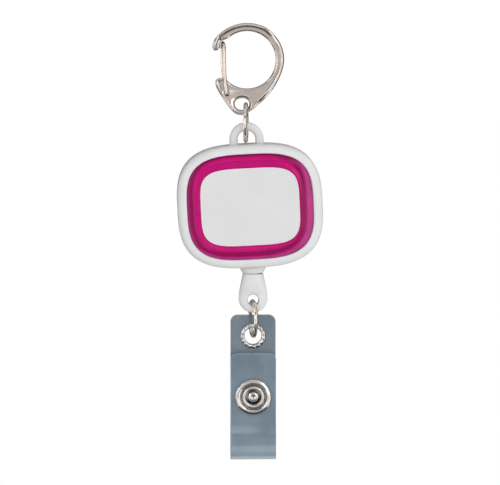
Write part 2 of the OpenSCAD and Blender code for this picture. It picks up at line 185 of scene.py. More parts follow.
def softened(values, reach):
    """Values around a closed outline, averaged over reach neighbours each way."""
    return sum(np.roll(values, k) for k in range(-reach, reach + 1)) / (2 * reach + 1)


def smooth(t):
    """0 to 1 with soft ends."""
    t = min(1, max(0, t))
    return t * t * (3 - 2 * t)


def room(outline, edges, most):
    """How far each point can move inwards before it is nearer to another edge."""
    normals = inward(outline)
    reach = np.zeros(len(outline))
    going = np.ones(len(outline), bool)
    for d in np.linspace(0, most, 21)[1:]:
        moved = outline + normals * d
        nearest = np.linalg.norm(moved[:, None] - edges[None], axis=2).min(1)
        going &= nearest > 0.97 * d
        reach[going] = d
    least = np.min([np.roll(reach, k) for k in range(-4, 5)], axis=0)
    return softened(least, 4)


# ---- Meshes ----


def add_mesh(name, points, faces, sharp=35):
    """A smooth-shaded mesh from points in mm; edges steeper than sharp degrees stay crisp."""
    mesh = bpy.data.meshes.new(name)
    mesh.from_pydata([tuple(p) for p in np.asarray(points) * MM], [], faces)
    work = bmesh.new()
    work.from_mesh(mesh)
    bmesh.ops.recalc_face_normals(work, faces=work.faces)
    work.to_mesh(mesh)
    work.free()
    mesh.shade_smooth()
    mesh.set_sharp_from_angle(angle=math.radians(sharp))
    obj = bpy.data.objects.new(name, mesh)
    bpy.context.scene.collection.objects.link(obj)
    return obj


def skin(rings, wrap=False, first=0):
    """Faces between neighbouring rings of points. With wrap the last ring joins the first, and without
    it both ends are closed. first is the number of the first point."""
    count = len(rings[0])
    faces = []
    for i in range(len(rings) if wrap else len(rings) - 1):
        a = first + i * count
        b = first + (i + 1) % len(rings) * count
        for k in range(count):
            n = (k + 1) % count
            faces.append((a + k, a + n, b + n, b + k))
    if not wrap:
        end = first + (len(rings) - 1) * count
        faces.append(tuple(range(first, first + count)))
        faces.append(tuple(range(end, end + count)))
    return faces


def lathe(name, profile, centre, axis="y", segments=144, closed=True, shape=None):
    """Turns [radius, along] points about an axis; shape(radius, along, angle) can vary them."""
    angle = np.linspace(0, 2 * math.pi, segments, endpoint=False)
    rings = []
    for r, s in profile:
        radius, along = (r + 0 * angle, s + 0 * angle) if shape is None else shape(r, s, angle)
        across, up = radius * np.cos(angle), radius * np.sin(angle)
        rings.append(np.stack([across, along, up] if axis == "y" else [across, up, along], 1))
    points = np.concatenate(rings)
    points = at_case(points) if centre is None else points + centre
    return add_mesh(name, points, skin(rings, wrap=closed))


def tube_rings(path, radius, sides):
    """Rings around a path of points; radius is one number or one per point."""
    path = np.asarray(path, float)
    radius = np.broadcast_to(radius, len(path))
    ahead = np.gradient(path, axis=0)
    ahead /= np.linalg.norm(ahead, axis=1)[:, None]
    side = np.cross(ahead[0], [0.31, 0.87, 0.38])
    rings = []
    for p, t, r in zip(path, ahead, radius):
        side = side - t * np.dot(side, t)
        side /= np.linalg.norm(side)
        other = np.cross(t, side)
        turn = np.linspace(0, 2 * math.pi, sides, endpoint=False)[:, None]
        rings.append(p + r * (np.cos(turn) * side + np.sin(turn) * other))
    return rings


def tube(name, path, radius, sides=20):
    rings = tube_rings(path, radius, sides)
    return add_mesh(name, np.concatenate(rings), skin(rings))


def standing(outline, y):
    """An [x, z] outline as 3-D points at one depth."""
    return np.stack([outline[:, 0], np.full(len(outline), y), outline[:, 1]], 1)


def plate(name, contours, profiles):
    """A casting in the XZ plane. Each contour has its own edge profile, arrays of inset and half depth
    with one row for each step from the middle plane to the face and one column for each point."""
    points, faces, front, back = [], [], [], []
    first = 0
    for outline, (insets, depths) in zip(contours, profiles):
        normals = inward(outline)
        half = [outline + normals * step[:, None] for step in insets]
        rings = []
        for line, depth in list(zip(half, depths))[::-1]:
            rings.append(np.stack([line[:, 0], -depth, line[:, 1]], 1))
        for line, depth in list(zip(half, depths))[1:]:
            rings.append(np.stack([line[:, 0], depth, line[:, 1]], 1))
        points += rings
        faces += skin(rings, first=first)[:-2]
        front.append((first, rings[0]))
        back.append((first + (len(rings) - 1) * len(outline), rings[-1]))
        first += len(rings) * len(outline)
    for ends in (front, back):
        index = [start + k for start, ring in ends for k in range(len(ring))]
        loops = [[Vector((p[0], p[2], 0)) for p in ring] for _, ring in ends]
        faces += [tuple(index[k] for k in triangle) for triangle in tessellate_polygon(loops)]
    return add_mesh(name, np.concatenate(points), faces, sharp=28)


def edge_profile(steps, reach, edge_room):
    """The same (inset, half depth) steps all round, narrowed where the casting is narrow."""
    widest = steps[-1][0]
    share = np.minimum(reach, edge_room) / widest
    insets = np.array([s[0] * share for s in steps])
    depths = np.array([np.full(len(share), s[1]) for s in steps])
    return insets, depths


def cut(obj, cutter, sharp=35):
    """Takes the cutter's volume out of the mesh."""
    step = obj.modifiers.new("cut", "BOOLEAN")
    step.operation = "DIFFERENCE"
    step.solver = "EXACT"
    step.object = cutter
    bpy.context.view_layer.update()
    shaped = bpy.data.meshes.new_from_object(obj.evaluated_get(bpy.context.evaluated_depsgraph_get()))
    obj.modifiers.remove(step)
    obj.data = shaped
    shaped.shade_smooth()
    shaped.set_sharp_from_angle(angle=math.radians(sharp))
    bpy.data.objects.remove(cutter)
    return obj


def joined(objects):
    """Several meshes as one object, named after the first."""
    main = objects[0]
    work = bmesh.new()
    for obj in objects:
        work.from_mesh(obj.data)
    work.to_mesh(main.data)
    work.free()
    for obj in objects[1:]:
        bpy.data.objects.remove(obj)
    return main


# ---- Material nodes ----


class Surface:
    """A material with a Principled shader and object coordinates, and short ways to add detail."""

    def __init__(self, name):
        self.material = bpy.data.materials.new(name)
        self.material.use_nodes = True
        self.tree = self.material.node_tree
        self.shader = self.tree.nodes["Principled BSDF"]
        self.coordinates = self.tree.nodes.new("ShaderNodeTexCoord").outputs["Object"]
        self.height = None

    def node(self, kind, **values):
        made = self.tree.nodes.new(kind)
        for key, value in values.items():
            setattr(made, key, value)
        return made

    def link(self, output, socket):
        self.tree.links.new(output, socket)

    def value(self, **values):
        """Constant values on the shader's own sockets."""
        for key, value in values.items():
            self.shader.inputs[key.replace("_", " ")].default_value = value

    def stretched(self, stretch):
        mapping = self.node("ShaderNodeMapping")
        mapping.inputs["Scale"].default_value = stretch
        self.link(self.coordinates, mapping.inputs["Vector"])
        return mapping.outputs["Vector"]

    def noise(self, size_mm, detail=3.0, stretch=(1, 1, 1), distortion=0.0):
        """Noise with features of about size_mm."""
        texture = self.node("ShaderNodeTexNoise")
        texture.inputs["Scale"].default_value = 1 / (size_mm * MM)
        texture.inputs["Detail"].default_value = detail
        texture.inputs["Distortion"].default_value = distortion
        self.link(self.stretched(stretch), texture.inputs["Vector"])
        return texture.outputs["Fac"]

    def ramp(self, factor, stops):
        """stops are (position, colour) pairs; a colour can be one grey number."""
        ramp = self.node("ShaderNodeValToRGB")
        elements = ramp.color_ramp.elements
        while len(elements) < len(stops):
            elements.new(0.5)
        for element, (position, colour) in zip(elements, stops):
            element.position = position
            grey = isinstance(colour, (int, float))
            element.color = (colour,) * 3 + (1,) if grey else tuple(colour) + (1,)
        self.link(factor, ramp.inputs["Fac"])
        return ramp.outputs["Color"]

    def mix(self, factor, first, second, blend="MIX"):
        """Mixes two colours; either can be an output or a plain colour. factor likewise."""
        mix = self.node("ShaderNodeMix", data_type="RGBA", blend_type=blend)
        for key, value in ((0, factor), (6, first), (7, second)):
            if isinstance(value, bpy.types.NodeSocket):
                self.link(value, mix.inputs[key])
            elif key == 0:
                mix.inputs[key].default_value = value
            else:
                mix.inputs[key].default_value = tuple(value) + (1,)
        return mix.outputs[2]

    def attribute(self, name):
        return self.node("ShaderNodeAttribute", attribute_name=name).outputs["Fac"]

    def axis(self, name):
        split = self.node("ShaderNodeSeparateXYZ")
        self.link(self.coordinates, split.inputs[0])
        return split.outputs[name]

    def span(self, value, low_mm, high_mm):
        """value, in metres, as 0 at low_mm and 1 at high_mm."""
        remap = self.node("ShaderNodeMapRange")
        remap.inputs["From Min"].default_value = low_mm * MM
        remap.inputs["From Max"].default_value = high_mm * MM
        self.link(value, remap.inputs["Value"])
        return remap.outputs["Result"]

    def colour(self, output):
        self.link(output, self.shader.inputs["Base Color"])

    def roughness(self, factor, low, high):
        remap = self.node("ShaderNodeMapRange")
        remap.inputs["From Min"].default_value = 0.3
        remap.inputs["From Max"].default_value = 0.7
        remap.inputs["To Min"].default_value = low
        remap.inputs["To Max"].default_value = high
        self.link(factor, remap.inputs["Value"])
        self.link(remap.outputs["Result"], self.shader.inputs["Roughness"])

    def painted_hollow_shade(self, reach_mm, colour, dark):
        """The colour with painted shade: darker in hollows and holes narrower than the reach, as if
        shade fell there.
        """
        open_sky = self.node("ShaderNodeAmbientOcclusion", samples=8)
        open_sky.inputs["Distance"].default_value = reach_mm * MM
        shade = self.ramp(open_sky.outputs["AO"], [(0.35, dark), (0.85, 1.0)])
        return self.mix(1.0, colour, shade, "MULTIPLY")

    def bump(self, height, depth_mm, strength=1.0):
        """Adds relief; several calls add up."""
        bump = self.node("ShaderNodeBump")
        bump.inputs["Strength"].default_value = strength
        bump.inputs["Distance"].default_value = depth_mm * MM
        self.link(height, bump.inputs["Height"])
        if self.height is not None:
            self.link(self.height, bump.inputs["Normal"])
        self.height = bump.outputs["Normal"]
        self.link(self.height, self.shader.inputs["Normal"])


def plating(name, light, dark, rough, patch_mm, waviness=0.05):
    """Nickel plate with cloudy tone, fine scratches, tiny pits and painted shade in its hollows and
    holes.
    """
    s = Surface(name)
    clouds = s.noise(patch_mm, detail=4)
    scratches = s.noise(0.12, detail=2, stretch=(1, 1, 0.06))
    # Painted shade: the colour darkens where ambient occlusion finds narrow hollows and holes.
    s.colour(s.painted_hollow_shade(0.9, s.ramp(clouds, [(0.3, dark), (0.7, light)]), 0.25))
    s.roughness(s.noise(0.9, detail=5), rough * 0.6, rough * 1.8)
    s.bump(scratches, 0.002, 0.3)
    s.bump(s.noise(1.6, detail=1), waviness, 0.25)
    s.value(Metallic=1.0)
    return s.material


def hard_plastic(name, light, shade, rough):
    """Moulded plastic: a faint mottle, a satin grain and a few handling scratches."""
    s = Surface(name)
    s.colour(s.ramp(s.noise(4, detail=5), [(0.3, shade), (0.7, light)]))
    s.roughness(s.noise(0.8, detail=5), rough * 0.8, rough * 1.3)
    s.bump(s.noise(0.18, detail=4), 0.006, 0.5)
    s.bump(s.noise(0.25, detail=1, stretch=(1, 1, 0.05), distortion=0.6), 0.004, 0.3)
    s.value(IOR=1.46, Subsurface_Weight=0.04, Subsurface_Scale=0.001)
    return s.material


def tinted_insert():
    """Deep magenta transparent plastic: darker in the outer channel, brighter next to the label. The
    dark channel is a painted reflection and the lilac outer edge a painted highlight.
    """
    s = Surface("magenta_insert")
    # Painted reflection and highlight: the stops give the channel a dark reflection and the outer edge a
    # lilac highlight, over the plastic's magenta tint.
    across = s.ramp(s.attribute("band"), [
        (0.0, (0.42, 0.045, 0.205)), (0.12, (0.38, 0.01, 0.145)), (0.22, (0.26, 0.0, 0.078)),
        (0.4, (0.25, 0.0, 0.073)), (0.52, (0.42, 0.002, 0.135)), (0.7, (0.52, 0.004, 0.165)),
        (0.97, (0.46, 0.003, 0.148))])
    tone = s.ramp(s.noise(5, detail=2), [(0.3, 0.82), (0.7, 1.0)])
    s.colour(s.mix(1.0, across, tone, "MULTIPLY"))
    s.roughness(s.noise(1.1, detail=4), 0.05, 0.14)
    s.bump(s.noise(1.6, detail=2), 0.05, 0.3)
    s.bump(s.noise(0.2, detail=1, stretch=(1, 1, 0.08)), 0.002, 0.3)
    s.value(Coat_Weight=0.3, Coat_Roughness=0.03, Specular_IOR_Level=0.02)
    return s.material


def label_film():
    """Blank matt film with a fine paper-like grain and a painted highlight along its edge."""
    s = Surface("blank_label")
    face = s.ramp(s.noise(9, detail=3), [(0.3, (0.605, 0.605, 0.615)), (0.7, (0.625, 0.625, 0.637))])
    # Painted highlight: the film's edge is mixed towards a pinkish white.
    s.colour(s.mix(s.attribute("painted_edge_highlight"), face, (0.93, 0.90, 0.92)))
    s.roughness(s.noise(0.5, detail=5), 0.42, 0.6)
    s.bump(s.noise(0.12, detail=3), 0.003, 0.4)
    return s.material


def vinyl():
    """Smoky clear vinyl with faint ripples, and painted light: lighter bands where it bends at the fold,
    a painted reflection band on its left and painted highlights along its cut edges.
    """
    s = Surface("clear_vinyl")
    height = s.span(s.axis("Z"), FOLD[2] - 0.2, REAR_TOP + 0.1)
    # Painted light: bands at the fold, a reflection band higher up on the left and the cut edges (the
    # rim attribute) are all mixed towards a pale blue.
    painted_light = s.ramp(height, [
        (0.0, 0.25), (0.012, 1.0), (0.028, 1.0), (0.04, 0.3), (0.1, 0.36), (0.118, 0.08), (0.18, 0.0)])
    painted_reflection_band = s.ramp(height, [(0.19, 0.0), (0.205, 0.34), (0.235, 0.24), (0.26, 0.0)])
    across = s.span(s.axis("X"), FOLD[0] - STRAP_HALF_W, FOLD[0] + STRAP_HALF_W)
    left = s.ramp(across, [(0.35, 1.0), (0.75, 0.1)])
    painted_light = s.mix(1.0, painted_light, s.mix(1.0, painted_reflection_band, left, "MULTIPLY"), "ADD")
    painted_light = s.mix(s.attribute("rim"), painted_light, (0.45, 0.45, 0.45))
    patches = s.noise(7, detail=3)
    front = s.ramp(patches, [(0.35, (0.125, 0.18, 0.225)), (0.65, (0.17, 0.23, 0.28))])
    rear = s.ramp(patches, [(0.35, (0.075, 0.125, 0.165)), (0.65, (0.115, 0.165, 0.215))])
    behind = s.span(s.axis("Y"), FOLD[1] - 0.4, FOLD[1] + 0.4)
    cloud = s.mix(behind, front, rear)
    s.colour(s.mix(painted_light, cloud, (0.40, 0.48, 0.54)))
    s.roughness(s.noise(1.5, detail=4), 0.1, 0.24)
    s.bump(s.noise(6, detail=1, stretch=(0.4, 1, 1)), 0.25, 0.35)
    s.bump(s.noise(0.15, detail=2, stretch=(1, 1, 0.1)), 0.002, 0.3)
    s.value(IOR=1.53)
    # The rear leaf is seen through the front one, so it lets more light through.
    s.link(s.ramp(behind, [(0.0, 0.9), (1.0, 0.74)]), s.shader.inputs["Alpha"])
    return s.material


def braid(name):
    """Off-white braided nylon."""
    s = Surface(name)
    strands = []
    for slope in (1, -1):
        wave = s.node("ShaderNodeTexWave", bands_direction="DIAGONAL")
        wave.inputs["Scale"].default_value = 900
        wave.inputs["Distortion"].default_value = 0.4
        s.link(s.stretched((slope, 1, 1)), wave.inputs["Vector"])
        strands.append(wave.outputs["Fac"])
    weave = s.mix(0.5, strands[0], strands[1])
    s.colour(s.ramp(weave, [(0.2, (0.50, 0.50, 0.47)), (0.8, (0.80, 0.80, 0.76))]))
    s.roughness(s.noise(0.3, detail=3), 0.5, 0.75)
    s.bump(weave, 0.06, 0.7)
    return s.material


def spring_steel():
    """Blued ribbon steel with lengthwise grain."""
    s = Surface("spring_steel")
    s.colour(s.ramp(s.noise(2, detail=4), [(0.3, (0.10, 0.11, 0.13)), (0.7, (0.24, 0.25, 0.27))]))
    s.roughness(s.noise(0.5, detail=4), 0.2, 0.38)
    s.bump(s.noise(0.08, detail=2, stretch=(1, 0.1, 1)), 0.003, 0.4)
    s.value(Metallic=1.0)
    return s.material


CASTING = plating("plated_casting", (0.78, 0.72, 0.69), (0.68, 0.63, 0.60), rough=0.075, patch_mm=3.0)
WIRE = plating("plated_wire", (0.90, 0.85, 0.79), (0.74, 0.67, 0.62), rough=0.07, patch_mm=1.6,
               waviness=0.01)
PRESSING = plating("plated_pressing", (0.84, 0.84, 0.84), (0.70, 0.68, 0.66), rough=0.085, patch_mm=0.9)
WHITE = hard_plastic("white_shell", (0.648, 0.65, 0.655), (0.625, 0.627, 0.637), 0.3)
# The back moulding's darker, bluer white is painted shade, standing in for the shade on the case's
# up-facing side wall.
SHADED_WHITE_BACK = hard_plastic("white_shell_back_painted_shade", (0.55, 0.57, 0.59), (0.53, 0.55, 0.57), 0.34)
FITTING_WHITE = hard_plastic("white_shell_fitting", (0.66, 0.66, 0.66), (0.635, 0.635, 0.64), 0.2)
ACETAL = hard_plastic("spool_plastic", (0.72, 0.70, 0.64), (0.66, 0.64, 0.58), 0.4)
MAGENTA = tinted_insert()
LABEL = label_film()
VINYL = vinyl()
CORD = braid("cord")
STEEL = spring_steel()


def dress(obj, material):
    """Gives the object one material."""
    obj.data.materials.clear()
    obj.data.materials.append(material)
    return obj


def stand_in(obj, body, material, slot, *nodes):
    """obj is shown in place of these CAD nodes and moves with their body."""
    dress(obj, material)
    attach(obj, body)
    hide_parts(*nodes)
    return obj


# ---- Hook and gate ----

OPENING_R = 7.9
HOOK_OUTLINE = [
    (-9.1, 2.55), (-8.1, 2.75), (-7.5, 3.4), (-7.45, 4.4), (-7.05, 5.15), (-6.3, 5.5), (-5.0, 5.95),
    (-3, 5.4), (-3, -5.2), (-6.2, -5.2), (-7.6, -5.0), (-8.6, -5.5), (-8.9, -6.5), (-8.2, -8.3),
    (-6.9, -10.5), (-5.3, -12.8),
    (-3.6, -14.7), (-1.9, -15.3), (-0.1, -14.8), (1.9, -13.5), (4.0, -11.7), (6.1, -9.6), (7.9, -7.0),
    (9.3, -4.2), (10.15, -1.4), (10.25, 1.1), (9.45, 4.1), (7.6, 6.9), (5.1, 9.0), (2.2, 10.0),
    (-0.4, 10.22), (-3.0, 9.8), (-5.5, 8.8), (-7.2, 7.6), (-8.6, 6.3), (-9.4, 4.9), (-9.65, 3.5)]
OUTER_EDGE = [(0, 0), (0.02, 0.5), (0.07, 0.92), (0.2, 1.16), (0.42, 1.32), (0.7, 1.43), (0.94, 1.5),
              (1.1, 1.45), (1.22, 1.34), (1.3, 1.24)]
OPENING_EDGE = [(0, 0), (0.01, 0.4), (0.05, 0.7), (0.12, 0.9), (0.2, 1.03), (0.29, 1.12), (0.38, 1.18),
                (0.46, 1.215), (0.54, 1.235), (0.6, 1.24)]
EYE_EDGE = [(0, 0), (0, 0.3), (0.05, 0.62), (0.15, 0.87), (0.3, 1.06), (0.48, 1.19), (0.62, 1.24)]
GATE_HOLE_EDGE = [(0, 0), (0, 0.9), (0.1, 1.12), (0.28, 1.24)]


def hook_contour():
    """The C-shaped outline: the outside, then the round opening in place of the points inside it."""
    curve = closed_curve(HOOK_OUTLINE)
    inside = np.linalg.norm(curve, axis=1) < OPENING_R
    start = np.flatnonzero(inside & ~np.roll(inside, 1))[0]
    curve, inside = np.roll(curve, -start, 0), np.roll(inside, -start)
    kept = curve[~inside]
    leave = math.atan2(kept[-1][1], kept[-1][0])
    enter = math.atan2(kept[0][1], kept[0][0])
    turn = np.linspace(leave, enter, 120)
    arc = OPENING_R * np.stack([np.cos(turn), np.sin(turn)], 1)
    return resampled(np.vstack([kept, arc]), 0.2)


def circle(x, z, r, count=48):
    """Clockwise, so that the material is on its left."""
    t = np.linspace(0, -2 * math.pi, count, endpoint=False)
    return np.stack([x + r * np.cos(t), z + r * np.sin(t)], 1)


def hook_body():
    """The cast hook: softly rounded outside, a tighter edge round the opening, and two holes."""
    body = hook_contour()
    eye_shape = squircle(2.05, 1.6, 2.15, 72)[::-1]
    eye = np.array([-1.4, -12.22]) + eye_shape
    eye_reach = 0.62 + 0.3 * np.maximum(0, eye_shape[:, 1] / 1.53)
    foot = circle(GATE_PIVOT[0], GATE_PIVOT[2], 0.56)
    edges = np.vstack([body, eye, foot])
    on_opening = (np.abs(np.linalg.norm(body, axis=1) - OPENING_R) < 0.05).astype(float)
    share = softened(on_opening, 5)
    outer = edge_profile(OUTER_EDGE, OUTER_EDGE[-1][0], room(body, edges, OUTER_EDGE[-1][0]))
    opening = edge_profile(OPENING_EDGE, OPENING_EDGE[-1][0], room(body, edges, OPENING_EDGE[-1][0]))
    mixed = [o * (1 - share) + i * share for o, i in zip(outer, opening)]
    holes = [edge_profile(EYE_EDGE, eye_reach, room(eye, edges, 0.92)),
             edge_profile(GATE_HOLE_EDGE, 0.36, room(foot, edges, 0.36))]
    hook = plate("hook_casting", [body, eye, foot], [mixed] + holes)
    return stand_in(hook, "hook", CASTING, "plated_casting", "hook_body")


def hook_gate():
    """One bent wire: both legs are joined over the top, and each foot turns into the lug."""
    wire_r, leg_y, top_x, rear_x, arch_z = 0.42, 2.08, -6.3, -6.98, 2.65
    foot_x, foot_z = GATE_PIVOT[0], GATE_PIVOT[2]
    heights = np.linspace(0.06, 1, 24)
    legs = []
    for x, y in ((top_x, -leg_y), (rear_x, leg_y)):
        across = x + (foot_x - x) * (1 - heights) ** 3
        legs.append(np.stack([across, np.full(24, y), foot_z + (arch_z - foot_z) * heights], 1))
    turn = np.radians(np.linspace(6, 174, 24))
    arch = np.stack([top_x + (rear_x - top_x) * (1 - np.cos(turn)) / 2,
                     -leg_y * np.cos(turn), arch_z + leg_y * np.sin(turn)], 1)
    foot = [[foot_x, y, foot_z] for y in (-0.5, -1.3, -leg_y)]
    rear_foot = [[foot_x, -y, z] for _, y, z in foot[::-1]]
    path = rounded(np.vstack([foot, legs[0], arch, legs[1][::-1], rear_foot]), 0.5, closed=False)
    gate = tube("gate_wire", path, wire_r)
    return stand_in(gate, "gate", WIRE, "plated_wire", "hook_gate")


# ---- Rings ----


def ring_wire(name, node, body, radius, wire_r, yaw, seam):
    """A round wire ring that stands front to back, closed with a fine butt joint at angle seam."""
    turn = np.radians(np.linspace(seam + 0.4, seam + 359.6, 140))
    out = radius * np.sin(turn)
    yaw = math.radians(yaw)
    path = np.stack([-math.sin(yaw) * out, math.cos(yaw) * out, radius * np.cos(turn)], 1)
    ring = tube(name, path + middle_of(node), wire_r)
    return stand_in(ring, body, WIRE, "plated_wire", node)


# ---- Case ----

CASE = squircle(20.2, 17.2, 3.0)
RECESS = squircle(17.5, 14.65, 3.3)
INSERT = squircle(17.47, 14.62, 3.3)
LABEL_OUTLINE = squircle(13.75, 10.8, 4.2)
LOOP_Z = 18.07


def front_shell():
    """The front moulding: rounded rim, recess for the insert, wall open to the back, and the loop."""
    rim_w, rim_depth, rim_start, squareness = 2.35, 2.4, -3.1, 0.7
    turns = np.radians(np.linspace(0, 90, 16))
    rim = [(rim_w * (1 - math.cos(t) ** squareness), rim_start - rim_depth * math.sin(t) ** squareness)
           for t in turns]
    lip = [(0, -4.0), (0, -5.15), (-0.04, -5.32), (-0.13, -5.43), (-0.3, -5.49)]
    wall = [(0, 1.02), (0.05, 1.14), (0.17, 1.2), (1.5, 1.2), (1.5, -3.1)]
    rings = [standing(inset(RECESS, d), y) for d, y in lip]
    rings += [standing(inset(CASE, d), y) for d, y in rim[::-1] + wall]
    shell = add_mesh("front_moulding", at_case(np.concatenate(rings)), skin(rings))
    return joined([shell, hanging_loop()])


def hanging_loop():
    """The arch that the upper ring hangs in; its feet widen where they meet the case."""
    middle_r, half_width, half_depth, centre_y = 3.6, 1.16, 1.25, -0.1
    feet_z, top_z = LOOP_Z - 3.4, LOOP_Z + 0.34
    turn = np.radians(np.linspace(180, 0, 41))
    leg = np.linspace(feet_z, top_z, 14)[:-1]
    left = np.stack([np.full(13, -middle_r), leg], 1)
    arch = np.stack([middle_r * np.cos(turn), top_z + middle_r * np.sin(turn)], 1)
    path = np.vstack([left, arch, (left * [-1, 1])[::-1]])
    ahead = np.gradient(path, axis=0)
    ahead /= np.linalg.norm(ahead, axis=1)[:, None]
    outward = np.stack([-ahead[:, 1], ahead[:, 0]], 1)
    section = squircle(1, 1, 3.2, 32)
    rings = []
    for p, side in zip(path, outward):
        flare = 1 + 0.75 * max(0.0, (feet_z + 2.4 - p[1]) / 2.4) ** 2
        across = section[:, :1] * half_width * flare * side
        ring = standing(p + across, centre_y)
        ring[:, 1] += section[:, 1] * half_depth
        rings.append(ring)
    return add_mesh("loop", at_case(np.concatenate(rings)), skin(rings))


def back_shell():
    """The back moulding: its tongue fits inside the front's wall, and the outside edge is rounded."""
    rim_r, rim_start = 1.6, 3.0
    turns = np.radians(np.linspace(0, 90, 10))
    rim = [(rim_r * (1 - math.cos(t)), rim_start + rim_r * math.sin(t)) for t in turns]
    tongue = [(2.36, 3.3), (2.36, 0.65), (2.3, 0.6), (1.62, 0.6), (1.56, 0.65), (1.56, 1.23)]
    seam = [(0.17, 1.23), (0.05, 1.29), (0, 1.41)]
    rings = [standing(inset(CASE, d), y) for d, y in tongue + seam + rim]
    return add_mesh("back_moulding", at_case(np.concatenate(rings)), skin(rings))


def colour_insert():
    """The frame around the label: a bevelled outer edge, a crest, a shallow channel and an inner band.

    Each point of the section is how far across from the case to the label, and its depth.
    """
    section = [(0, -4.02), (0, -4.95), (0.02, -5.1), (0.06, -5.2), (0.14, -5.29), (0.24, -5.39),
               (0.33, -5.47), (0.4, -5.51), (0.46, -5.46), (0.53, -5.36), (0.61, -5.33), (0.72, -5.41),
               (0.84, -5.48), (0.92, -5.49), (0.97, -5.45), (1.0, -5.36), (1.0, -5.2), (1.0, -4.72)]
    rings = [standing(INSERT * (1 - w) + LABEL_OUTLINE * w, y) for w, y in section]
    insert = add_mesh("insert_moulding", at_case(np.concatenate(rings)), skin(rings))
    # Painted reflection: the dark band moves with the edge's direction, lying near the outer edge at the
    # top and near the label on the right, and on the right it leaves a wide lilac painted sheen at the
    # outer edge.
    band = insert.data.attributes.new("band", "FLOAT", "POINT")
    right, up = -inward(INSERT).T
    painted_reflection_shift = 0.33 * np.maximum(0, up) + 0.1 * np.minimum(0, up) - 0.42 * np.maximum(0, right)
    across = [np.clip(w + painted_reflection_shift, 0, 1) for w, _ in section]
    band.data.foreach_set("value", np.concatenate(across).astype(np.float32))
    return insert


def label_panel():
    """A thin film with a rolled edge; its outer rings carry a painted highlight, so the edge looks
    lighter.
    """
    lines = [(0.03, -4.72), (0.03, -5.12), (0.07, -5.2), (0.16, -5.24), (0.3, -5.25)]
    rings = [standing(inset(LABEL_OUTLINE, d), y) for d, y in lines]
    film = add_mesh("label_film", at_case(np.concatenate(rings)), skin(rings))
    edge = film.data.attributes.new("painted_edge_highlight", "FLOAT", "POINT")
    lightness = np.repeat([1.0, 1.0, 1.0, 0.7, 0.0], len(LABEL_OUTLINE))
    edge.data.foreach_set("value", lightness.astype(np.float32))
    return film


def cord_outlet():
    """The bush that the cord leaves through, with a flange against the case."""
    profile = [(0.65, -19.0), (2.85, -19.0), (2.97, -18.9), (3.3, -18.25), (3.62, -17.7),
               (3.76, -17.5), (3.8, -17.25), (2.4, -17.25), (2.4, -15.65), (3.1, -15.65),
               (3.1, -15.2), (2.8, -15.05), (1.15, -15.05), (0.65, -15.7)]
    return lathe("outlet_bush", rounded(profile, 0.18), None, axis="z")


# ---- End fitting ----


def end_fitting():
    """A drop-shaped moulding: a bore for the cord, a knot pocket open to the back, and an eye."""
    round_z, round_r, eye_z, foot_depth = -7.05, 4.05, -7.5, 1.58
    neck_depth, taper_from, taper_over, end_roll, count = 2.56, -2.6, 3.8, 0.9, 96
    heights = [-0.05, -0.08, -0.15, -0.5, -1.2, -2.0, -2.8, -3.6, -4.4, -5.2, -6.0]
    widths = [2.72, 2.82, 2.88, 2.95, 3.1, 3.27, 3.43, 3.59, 3.74, 3.88, 4.0]
    low = np.radians(np.linspace(8, -88, 30))
    heights += list(round_z + round_r * np.sin(low))
    widths += list(round_r * np.cos(low))
    section = squircle(1, 1, 2.6, count)
    rings = []
    for z, w in zip(heights, widths):
        depth = neck_depth + (foot_depth - neck_depth) * smooth((taper_from - z) / taper_over)
        near_end = min(1, max(0.02, (z - round_z + round_r + 0.02) / end_roll))
        depth = min(depth * math.sqrt(1 - (1 - near_end) ** 2), w * 0.95)
        ring = np.stack([section[:, 0] * w, section[:, 1] * depth, np.full(count, z)], 1)
        rings.append(ring + FITTING_TOP)
    fitting = add_mesh("fitting_drop", np.concatenate(rings), skin(rings))
    eye = [(2.9, -3), (2.3, -1.75), (1.78, -1.5), (1.58, -1.25), (1.5, -0.9)]
    eye += [(r, -y) for r, y in eye[::-1]]
    cut(fitting, lathe("eye_cutter", eye, FITTING_TOP + [0, 0, eye_z], segments=72, closed=False))
    pocket = [standing(squircle(1.15, 1.45, 4, 64) + [0, -3.45], y) for y in (-1.0, 4.0)]
    cut(fitting, add_mesh("pocket_cutter", np.concatenate(pocket) + FITTING_TOP, skin(pocket)))
    bore = [(0.55, -2.6), (0.55, 0.5)]
    cut(fitting, lathe("bore_cutter", bore, FITTING_TOP, axis="z", segments=48, closed=False))
    return fitting


# ---- Cord ----


def cord_lead():
    """The cord from the winding, through the bush, to its knot in the end fitting."""
    winding_r, cord_r, corner_z, outlet_z, bend = 14.04, 0.4, -14.9, -19.0, 1.4
    corner = np.array([0.0, corner_z])
    off = math.asin(winding_r / -corner_z)
    run = math.sqrt(corner_z ** 2 - winding_r ** 2)
    side = np.array([math.sin(off), math.cos(off)])
    start = [corner + side * run * s for s in np.linspace(1, 0.32, 12)]
    down = np.array([0, -1])
    turn = [corner + bend * (side * (1 - t) ** 2 + down * t ** 2) for t in np.linspace(0, 1, 12)]
    inside = np.array(start + turn + [np.array([0, z]) for z in np.linspace(-16.8, outlet_z, 6)])
    inside = at_case(standing(inside, 0))
    below = [FITTING_TOP + [0, 0, -z] for z in np.linspace(0.1, 2.55, 24)]
    lead = tube("cord_run", np.vstack([inside, below]), cord_r, sides=16)
    dress(lead, CORD)
    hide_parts("cord_lead")
    start, end = (FITTING_TOP + [0, 0, 1.0]) * MM, (FITTING_TOP - [0, 0, 1.5]) * MM
    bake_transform(lead)
    return lead


def knot(name, node, body, radius):
    """An overhand knot: a tight trefoil of cord that fills the CAD knot's ball."""
    cord_share = 0.36
    t = np.linspace(0, 2 * math.pi, 90)
    cord_r = radius * cord_share
    spread = (radius - cord_r) / 3
    path = spread * np.stack([np.sin(t) + 2 * np.sin(2 * t), 0.9 * np.cos(t) - 1.8 * np.cos(2 * t),
                              -2.0 * np.sin(3 * t)], 1)
    made = tube(name, path + middle_of(node), cord_r, sides=14)
    return stand_in(made, body, CORD, "cord", node)


# ---- Strap and its metalwork ----


